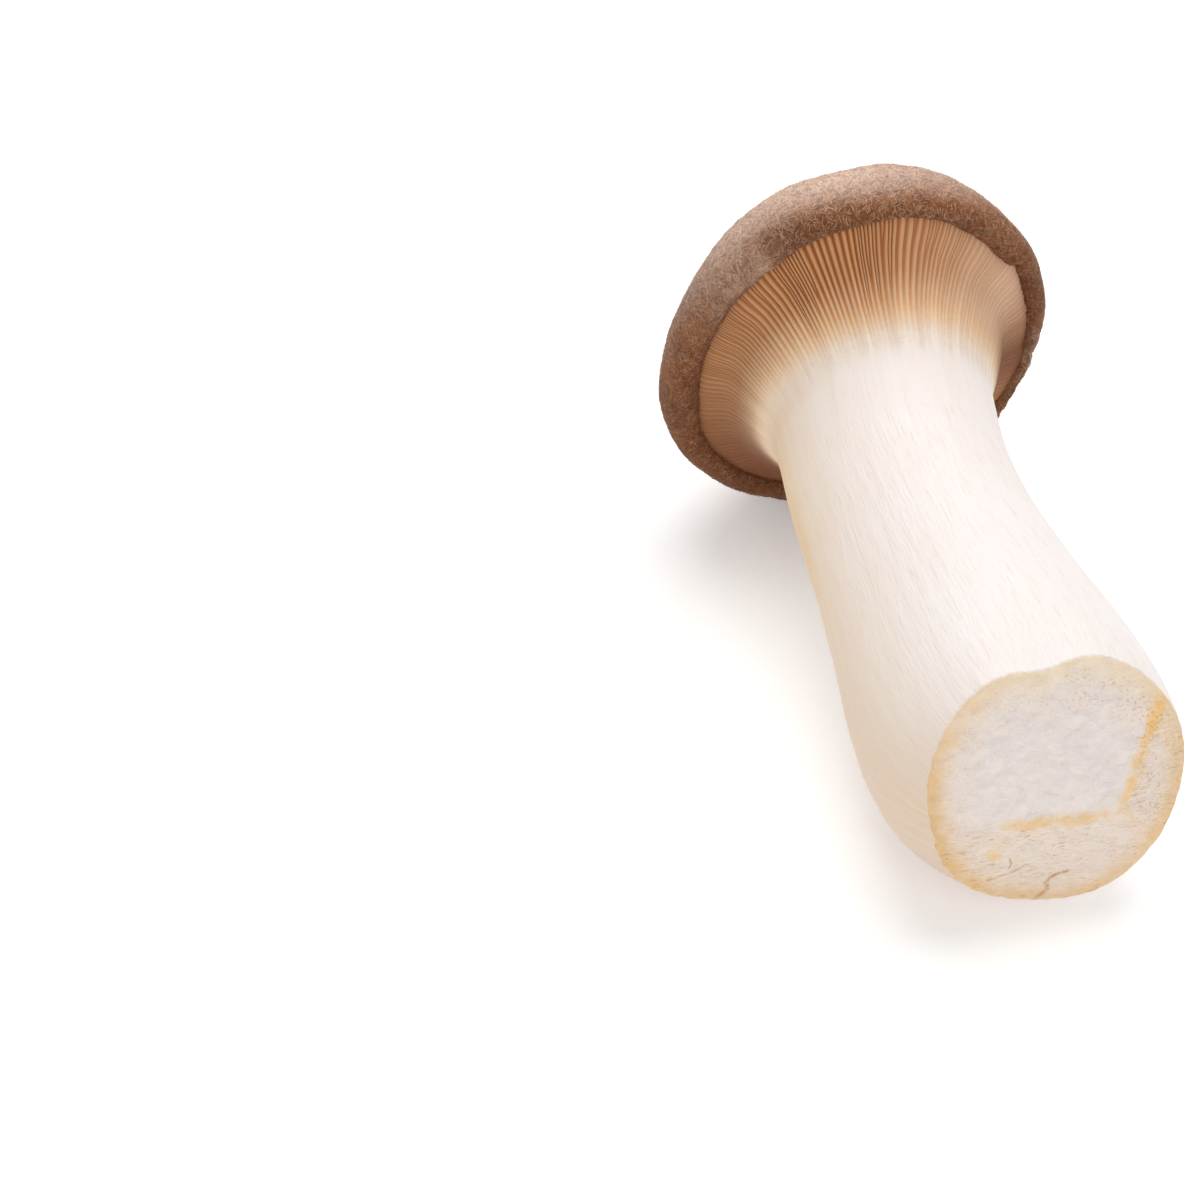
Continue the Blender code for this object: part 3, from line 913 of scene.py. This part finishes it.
class CapSurface:
    """The cap's grid of points, from inside the roll over the rim to the top's middle, and the
    amounts that its look follows. A row's share is 0 inside the roll, 1 where the cap is widest
    and about 3 at the top's middle."""

    def __init__(self):
        rim = along([ROLL_START] + RIM, RIM_ROWS)
        rows = np.vstack([rim, along(TOP, TOP_ROWS)[1:]])
        self.places, self.radii = rows[:, :1], rows[:, 1:]
        self.angles = (np.arange(CAP_COLUMNS) * 2 * math.pi / CAP_COLUMNS)[None, :]
        self.share = np.arange(len(rows))[:, None] / len(rim)
        self.inner = self.all_round(smooth_step(0.85, 0.30, self.share))
        self.points = self.uneven_skin()
        self.normals = outward_of(self.points)
        self.mark_rows()
        self.mark_pale()
        self.mark_dark()

    def all_round(self, values):
        """Values of the rows, repeated for every column."""
        return np.broadcast_to(values, (len(self.share), CAP_COLUMNS))

    def uneven_skin(self):
        lean = lip(self.angles) * smooth_step(0.9, 0.2, self.share)
        points = skin(self.places, self.radii, self.angles, -lean)
        inset = CAP_INSET + np.maximum(0.6 * dimples(points), -0.08)
        inset = inset + creases(self.angles, self.inner)
        return points - inset[..., None] * outward_of(points)

    def mark_rows(self):
        """How far out from the middle, the lip's tan edge, and how close the fibres stand."""
        share = self.share
        out = np.where(share >= 1.0, np.minimum(self.radii / CAP_RADIUS, 1.0), 1.0)
        self.out = self.all_round(out)
        self.lip = self.all_round(0.8 * smooth_step(0.26, 0.06, share))
        density = 0.4 + 1.1 * smooth_step(1.9, 1.2, share) + 1.2 * smooth_step(0.8, 0.4, share)
        self.density = self.all_round(density)

    def mark_pale(self):
        """The painted highlight on the rim's lit upper side and the paler patches, the scuffs, and
        how
        light the fibres are: lighter on the lit upper side as painted highlight, less inside the
        roll as painted shade.
        """
        share = self.share
        band = smooth_step(0.70, 1.35, share) * smooth_step(2.5, 1.5, share)
        patches = bumps(self.angles, PALE_PATCHES) * smooth_step(0.2, 0.5, share) * (1.0 - band)
        # Painted highlight on the rim's lit upper side, and paler patches beside it
        self.pale = bumps(self.angles, LIT_RIM) * band + patches * smooth_step(2.2, 1.4, share)
        near_spot = np.exp(-(((share - PALE_SPOT_AT) / PALE_SPOT_LENGTH) ** 2))
        lines = WORN_LINES_SHARE * bumps(self.angles, WORN_LINES)
        scuff = bumps(self.angles, PALE_SPOT) * near_spot + lines
        self.scuff = scuff * smooth_step(1.9, 1.2, share)
        # Light fibres: a base all round, more on the lit upper side as painted highlight, halved
        # inside the roll as painted shade
        self.fibre_light = (0.5 + bumps(self.angles, LIT_FIBRES_SIDE)) * (1.0 - 0.5 * self.inner)

    def mark_dark(self):
        """Painted shade at the rim's lower left and in the hollow inside the roll, and a darker
        patch on the rim's right.
        """
        gloom = bumps(self.angles, RIM_SHADE_AND_DARK_PATCH) * smooth_step(2.2, 1.0, self.share)
        hollow = bumps(self.angles, ROLL_PAINTED_SHADE) * smooth_step(1.0, 0.6, self.share)
        self.shade = gloom + hollow


def make_cap(table, cap):
    attributes = {"place": cap.points}
    for name in ("out", "inner", "lip", "pale", "scuff", "shade"):
        attributes[name] = getattr(cap, name)
    faces = [grid_faces(len(cap.points), CAP_COLUMNS)]
    return mesh_object("cap", table.lay(cap.points), faces, attributes, cap_material())


def between(grid, i, j):
    """A grid's values at fractional rows and columns."""
    grid = grid if grid.ndim == 3 else grid[..., None]
    rows, columns = grid.shape[:2]
    i = np.clip(i, 0, rows - 1.001)
    j = j % columns
    low, left = i.astype(int), j.astype(int) % columns
    right = (left + 1) % columns
    u, v = (i - low)[..., None], (j - np.floor(j))[..., None]
    near = grid[low, left] * (1 - v) + grid[low, right] * v
    far = grid[low + 1, left] * (1 - v) + grid[low + 1, right] * v
    return near * (1 - u) + far * u


def fibre_starts(cap, random):
    """Rows and columns spread over the cap, closer together on the rim, and how many mm a row and
    a column are."""
    down = np.gradient(cap.points, axis=0)
    across = (np.roll(cap.points, -1, 1) - np.roll(cap.points, 1, 1)) / 2
    area = np.linalg.norm(np.cross(down, across), axis=-1) * cap.density
    area[:4] = 0.0
    area[-5:] = 0.0
    total = np.cumsum(area.ravel())
    picked = np.searchsorted(total, random.uniform(0.0, total[-1], FIBRES))
    i, j = np.divmod(picked, area.shape[1])
    i = i + random.uniform(-0.5, 0.5, FIBRES)
    j = j + random.uniform(-0.5, 0.5, FIBRES)
    return i, j, np.linalg.norm(down, axis=-1), np.linalg.norm(across, axis=-1)


def fibre_paths(cap, random):
    """Four points along each fibre as it curves over the skin, and the row and column beyond."""
    i, j, row_mm, column_mm = fibre_starts(cap, random)
    lengths = random.uniform(*FIBRE_LENGTH, FIBRES)
    x, y, z = between(cap.points, i, j).T
    flow = 1.1 * np.sin(1.9 * x + 1.3 * z + 1.0) + 0.9 * np.sin(2.1 * z - 1.5 * y)
    curl = np.sin(1.4 * x - 1.8 * z + 0.9 * y) + random.normal(0.0, 0.5, FIBRES)
    turn = np.where(curl > 0, 1, -1) * random.uniform(*FIBRE_TURN, FIBRES)
    heading = flow + random.normal(0.0, 0.4, FIBRES)
    high = random.uniform(*FIBRE_HEIGHT, FIBRES)
    steps = len(FIBRE_LIFTS) - 1
    paths = []
    for step, lift in enumerate(FIBRE_LIFTS):
        lifted = (high * lift)[:, None] * between(cap.normals, i, j)
        paths.append(between(cap.points, i, j) + lifted)
        aim = heading + turn * (step / steps - 0.5)
        i = i + np.cos(aim) * lengths / steps / np.maximum(between(row_mm, i, j)[:, 0], 0.02)
        j = j + np.sin(aim) * lengths / steps / np.maximum(between(column_mm, i, j)[:, 0], 0.02)
    return np.stack(paths, 1), i, j


def make_felt(table, cap):
    """Short curved fibres lying on the cap's skin, each a narrow ribbon of two quads and a tip."""
    random = np.random.RandomState(FELT_SEED)
    paths, i, j = fibre_paths(cap, random)
    sideways = np.cross(between(cap.normals, i, j)[:, None, :], np.gradient(paths, axis=1))
    sideways /= np.linalg.norm(sideways, axis=-1)[..., None] + 1e-9
    half = sideways * (np.array(FIBRE_WIDTHS) * FIBRE_WIDTH / 2)[None, :, None]
    edges = np.stack([paths - half, paths + half], 2).reshape(FIBRES, -1, 3)
    points = edges[:, :FIBRE_CORNERS].reshape(-1, 3)
    first = np.arange(FIBRES)[:, None] * FIBRE_CORNERS
    quads = np.concatenate([first + (0, 2, 3, 1), first + (2, 4, 5, 3)])
    tips = first + (4, 6, 5)
    tone = np.repeat(random.uniform(0, 1, FIBRES), FIBRE_CORNERS)
    attributes = {"place": points, "tone": tone}
    for name in ("out", "inner", "pale", "shade", "scuff", "fibre_light"):
        here = between(getattr(cap, name), i, j)[:, 0]
        attributes[name] = np.repeat(here, FIBRE_CORNERS)
    return mesh_object("cap_felt", table.lay(points), [quads, tips], attributes, felt_material())


# The gills


def gill_columns(random):
    """Angles, heights and tones of the gills' columns, by row. A short gill grows in some of the
    gaps, and the two full ones beside it narrow to make room."""
    count = PRIMARY_GILLS
    reach = np.linspace(0.0, 1.0, GILL_ROWS)[:, None, None]
    gap = np.arange(count)[None, :, None]
    start = random.uniform(*SHORT_GILL_START, count)[None, :, None]
    present = (random.uniform(0, 1, count) < SHORT_GILL_CHANCE)[None, :, None]
    room = smooth_step(-0.06, 0.14, reach - start) * present
    grown = smooth_step(0.0, 0.14, reach - start) * present
    offsets, shape = (np.array(values)[None, None, :] for values in zip(*GILL_PROFILE))
    right = GILL_HALF_WIDTH - GILL_NARROWED_BY * room
    left = np.roll(right, 1, axis=1)
    full_height = 0.88 + 0.12 * random.uniform(0, 1, count)[None, :, None]
    short_height = random.uniform(*SHORT_GILL_HEIGHT, count)[None, :, None]
    tilt = random.normal(0.0, GILL_TILT, count)[None, :, None] * shape
    full = gap + offsets * np.where(offsets < 0, left, right) + tilt
    short = gap + 0.5 + offsets * (0.06 + 0.18 * room) + tilt * room
    angles = np.concatenate([full, short], -1) * 2 * math.pi / count
    sway = sum(h * np.sin(n * angles + p + d * reach) for n, h, p, d in GILL_WAVES)
    angles = angles + sway * 2 * math.pi / count
    heights = np.concatenate([shape * full_height + 0 * reach, shape * short_height * grown], -1)
    tones = np.broadcast_to(random.uniform(0, 1, count)[None, :, None], heights.shape)
    return tuple(grid.reshape(GILL_ROWS, -1) for grid in (angles, heights, tones))


def gill_rows():
    """Places and radii from under the stem's skin to just inside the rim."""
    inner = [(GILL_START, STEM[-1][1]), (73.0, STEM[-1][1])]
    outer = [(GILL_EDGE_AT + 0.7, GILL_RADIUS + 1.0)]
    return along(inner + UNDERSIDE + outer, GILL_ROWS)


def gill_points(rows, angles, shape):
    """The gills' surface: raised to the crests, lower in the grooves, sunk under the stem's skin."""
    steps = np.gradient(rows, axis=0)
    steps /= np.linalg.norm(steps, axis=1)[:, None]
    places, radii = rows[:, :1], rows[:, 1:]
    crest = smooth_through(GILL_HEIGHT, np.clip(rows[:, 0], GILLS_FROM, GILL_EDGE_AT))[:, :1]
    relief = (0.20 + bumps(angles, GILL_RELIEF)) * smooth_step(85.5, 96.0, places)
    raised = crest - relief * (1.0 - shape) - 0.05
    raised = raised - GILLS_SUNK * smooth_step(SEAM_AT, GILL_START + 3.0, places)
    spread = -lip(angles) * smooth_step(92.0, GILL_EDGE_AT, places)
    return skin(places, radii, angles, raised * steps[:, :1] + spread, raised * steps[:, 1:])


def make_gills(table):
    rows = gill_rows()
    places = rows[:, :1]
    angles, shape, tones = gill_columns(np.random.RandomState(GILL_SEED))
    points = gill_points(rows, angles, shape)
    reach = np.clip((places - GILLS_FROM) / (GILL_EDGE_AT - GILLS_FROM), 0, 1)
    attributes = {
        "place": points,
        "fibres": fibre_space(places, angles),
        "edge": shape,
        "reach": np.broadcast_to(reach, angles.shape),
        "tone": tones,
        "pale": bumps(angles, LIT_GILLS),
        "warm": warmth(places, angles),
        "under": underside(places, angles),
        "shade": bumps(angles, GILL_PAINTED_SHADE),
        "contrast": 0.35 + bumps(angles, GROOVE_SHADE_SIDE),
    }
    faces = [grid_faces(GILL_ROWS, angles.shape[1])]
    return mesh_object("gills", table.lay(points), faces, attributes, gill_material())


# The stem and its cut foot


def fibre_space(places, angles):
    """Coordinates that run along the stem, for fibres that follow it."""
    places, angles = np.broadcast_arrays(places, angles)
    x, y = FIBRES_RADIUS * np.cos(angles), FIBRES_RADIUS * np.sin(angles)
    return np.stack([x, y, places], -1)


def warmth(places, angles):
    """0 to 1: how tan the stem is painted: most along its left, shaded side and the neck's left, as
    painted warm shade for light glowing through the flesh, and a little all round the neck.
    """
    near_neck = np.exp(-(((places - 66) / 16) ** 2))
    neck = bumps(angles, WARM_NECK) * near_neck + 0.07 * smooth_step(48.0, 78.0, places)
    return np.clip(bumps(angles, WARM_SHADE_LEFT) + neck, 0.0, 1.0)


def underside(places, angles):
    """0 to 1: painted shade on the stem, most below and to the left near the foot."""
    return bumps(angles, SHADE_BELOW) * smooth_step(75.0, 5.0, places)


def foot_edge(angles):
    """Where along the stem the skin meets the knife's cuts, by direction."""
    places = np.arange(-12.0, 26.0, 0.05)
    points = skin(places[:, None], smooth_through(STEM, places), angles[None, :])
    beyond = cut_depth(points).max(-1) > 0
    return places[np.argmin(beyond, axis=0)]


def near_line(x, z, corners):
    """The distance in mm from each point to a line through corners given as (x, z)."""
    nearest = np.full(x.shape, 1e9)
    for (ax, az), (bx, bz) in zip(corners[:-1], corners[1:]):
        dx, dz = bx - ax, bz - az
        t = np.clip(((x - ax) * dx + (z - az) * dz) / (dx * dx + dz * dz), 0, 1)
        nearest = np.minimum(nearest, np.hypot(x - ax - t * dx, z - az - t * dz))
    return nearest


def uneven_face(x, z):
    """Soft unevenness of the cut face in mm."""
    uneven = 0.12 * np.sin(0.9 * x + 0.5 * z) * np.sin(0.7 * z - 0.2 * x + 1.0)
    return uneven + 0.05 * np.sin(2.3 * x + 0.8) * np.sin(2.1 * z + 0.4)


def rounded_edge(depth):
    """How far in mm the face falls away towards its edge."""
    to_edge = np.clip(1.0 - depth / EDGE_ROUNDED_OVER, 0.0, 1.0)
    return EDGE_ROUNDING * (1.0 - np.sqrt(1.0 - to_edge**2))


def ridge_marks(x, z, cuts, apart):
    """0 to 1: along the ridges between the two nearest cuts, and where one ridge turns down."""
    first, second = np.minimum(*cuts), np.maximum(*cuts)
    strength = np.zeros(x.shape)
    for (a, b), value in RIDGE_STRENGTH.items():
        strength[(first == a) & (second == b)] = value
    strength = strength * np.where(second != 2, smooth_step(-13.0, -9.5, x), 1.0)
    turned = 0.85 * np.exp(-(near_line(x, z, RIDGE_TURN) ** 2))
    return np.maximum(strength * np.exp(-((apart / RIDGE_HALF_WIDTH) ** 2)), turned)


def crack_marks(x, z):
    """0 to 1: along the cracks in the face."""
    crack = np.zeros(x.shape)
    for half_width, corners in CRACKS:
        crack = np.maximum(crack, np.exp(-((near_line(x, z, corners) / half_width) ** 2)))
    return crack


def foot_face(edge):
    """The cut face as rings from its middle out to the edge, and its attributes."""
    inwards = np.linspace(0.0, 1.0, FACE_ROWS + 1)[:-1][:, None]
    middle = edge[:, 0].mean(), edge[:, 2].mean()
    x = middle[0] + inwards * (edge[None, :, 0] - middle[0])
    z = middle[1] + inwards * (edge[None, :, 2] - middle[1])
    y, first, second, apart = cut_front(x, z)
    depth = np.hypot(edge[None, :, 0] - x, edge[None, :, 2] - z)
    crack = crack_marks(x, z)
    y = y + FACE_INSET + uneven_face(x, z) * smooth_step(0.0, 3.0, depth) + rounded_edge(depth)
    y = y + CRACK_DEPTH * crack
    wander = 0.4 * np.sin(0.8 * x + 1.0) * np.sin(0.6 * z) + 0.15 * np.sin(1.9 * x + 1.3 * z)
    round_face = np.arctan2(z - middle[1], x - middle[0])
    ring = smooth_step(10.5, 6.0, depth) * smooth_step(0.5, 2.5, depth)
    from_ridge = np.where(first == 0, np.clip(apart, 0, 2), -np.clip(apart, 0, 2))
    attributes = {
        "cut": np.ones(x.shape),
        "border": np.exp(-((np.maximum(depth + 0.9 * wander, 0.0) / 3.2) ** 2.6)),
        "ochre": bumps(round_face, OCHRE_EDGES),
        "ring": ring,
        "ridge": ridge_marks(x, z, (first, second), apart + wander),
        "pitted": (0.35 + bumps(round_face, PITTED_SIDE)) * ring,
        "facet": smooth_step(1.6, -1.4, from_ridge + 1.5 * wander),
        "crack": crack,
    }
    return np.stack([x, y, z], -1), attributes


def stem_skin(begin, angles):
    """The stem's places and points, from the cut's edge to under the gills."""
    share = np.linspace(0.0, 1.0, SKIN_ROWS)[:, None] ** 1.15
    places = begin + EDGE_GAP + share * (STEM_END_AT - begin)
    sunk = STEM_END_SUNK * smooth_step(SEAM_AT - 0.2, STEM_END_AT, places)
    radii = smooth_through(STEM, places)[..., 0] - sunk
    outer = skin(places, radii, angles, -SKIN_INSET)
    fibrils = 0.04 * np.sin(47 * angles + 1.3) * np.sin(places * 0.21 + 2 * np.sin(angles * 5))
    fibrils = fibrils * smooth_step(73.0, 60.0, places)
    return places, outer + fibrils[..., None] * outward_of(outer)


def make_stem(table):
    angles = np.arange(STEM_COLUMNS) * 2 * math.pi / STEM_COLUMNS
    begin = foot_edge(angles) + waves(angles, CUT_EDGE_WAVES)
    begin, angles = begin[None, :], angles[None, :]
    places, outer = stem_skin(begin, angles)
    face, marks = foot_face(outer[0])
    points = np.concatenate([face, outer], 0)
    all_places = np.concatenate([np.broadcast_to(begin, face.shape[:2]), places], 0)
    attributes = {
        "place": points,
        "fibres": fibre_space(all_places, angles),
        "warm": warmth(all_places, angles),
        "under": underside(all_places, angles),
    }
    for name, values in marks.items():
        skin_values = np.zeros(outer.shape[:2])
        if name == "border":
            skin_values = 0.4 * np.exp(-((places - begin) / 1.2))
        attributes[name] = np.concatenate([values, skin_values], 0)
    faces = [grid_faces(len(points), STEM_COLUMNS)]
    return mesh_object("stem", table.lay(points), faces, attributes, stem_material())


# The table top, the light and the camera


def make_floor():
    data = bpy.data.meshes.new("floor")
    corners = [(x * FLOOR_HALF, y * FLOOR_HALF, 0) for x, y in ((-1, -1), (1, -1), (1, 1), (-1, 1))]
    data.from_pydata(corners, [], [(0, 1, 2, 3)])
    s = Shader("pale_table")
    s.set(
        Base_Color=FLOOR_WHITE,
        Roughness=0.9,
        Specular_IOR_Level=0.1,
        Emission_Color=WHITE,
        Emission_Strength=FLOOR_GLOW,
    )
    data.materials.append(s.material)
    floor = add_object("floor", data)


def area_light(name, place, size, power, colour):
    """A round light that points at the mushroom."""
    data = bpy.data.lights.new(name, "AREA")
    data.shape = "DISK"
    data.size = size
    data.energy = power
    data.color = colour
    lamp = add_object(name, data)
    lamp.location = place
    aim = Vector(LIGHTS_AIM) - Vector(place)
    lamp.rotation_euler = aim.to_track_quat("-Z", "Y").to_euler()


def make_light():
    world = bpy.data.worlds.new("soft_white")
    bpy.context.scene.world = world
    world.use_nodes = True
    background = world.node_tree.nodes["Background"]
    background.inputs["Color"].default_value = (*WHITE, 1.0)
    background.inputs["Strength"].default_value = SKY_STRENGTH
    area_light("key", (0.15, 0.40, 1.15), size=1.2, power=10.5, colour=(1.0, 0.99, 0.98))
    area_light("fill", (-0.25, -1.0, 0.80), size=0.9, power=3.0, colour=(0.98, 0.99, 1.0))


def make_camera():
    """Looks from the photo's own side, with the cap's middle at its place in the frame."""
    back = Vector(facing(LOOK_ELEVATION, LOOK_AZIMUTH))
    right = Vector((0, 0, 1)).cross(back).normalized()
    up = back.cross(right)
    focal = LENS_MM / SENSOR_MM * PHOTO_SIZE
    across = (LOOK_AT_PIXEL[0] - PHOTO_SIZE / 2) / focal
    above = (PHOTO_SIZE / 2 - LOOK_AT_PIXEL[1]) / focal
    ray = -back + across * right + above * up
    data = bpy.data.cameras.new("camera")
    data.lens = LENS_MM
    data.sensor_width = SENSOR_MM
    data.clip_start = 0.01
    camera = add_object("camera", data)
    axes = Matrix((right, up, back)).transposed().to_4x4()
    place = (Vector(LOOK_AT) - LOOK_DISTANCE * ray) * MM
    camera.matrix_world = Matrix.Translation(place) @ axes
    bpy.context.scene.camera = camera


def main():
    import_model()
    make_camera()
    make_light()
    make_floor()
    bpy.context.scene.view_settings.view_transform = "Standard"
    table = Table()
    cap = CapSurface()
    pieces = (make_cap(table, cap), make_felt(table, cap), make_gills(table), make_stem(table))
    for piece in pieces:
        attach(piece, "root")
        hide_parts("mushroom")


main()
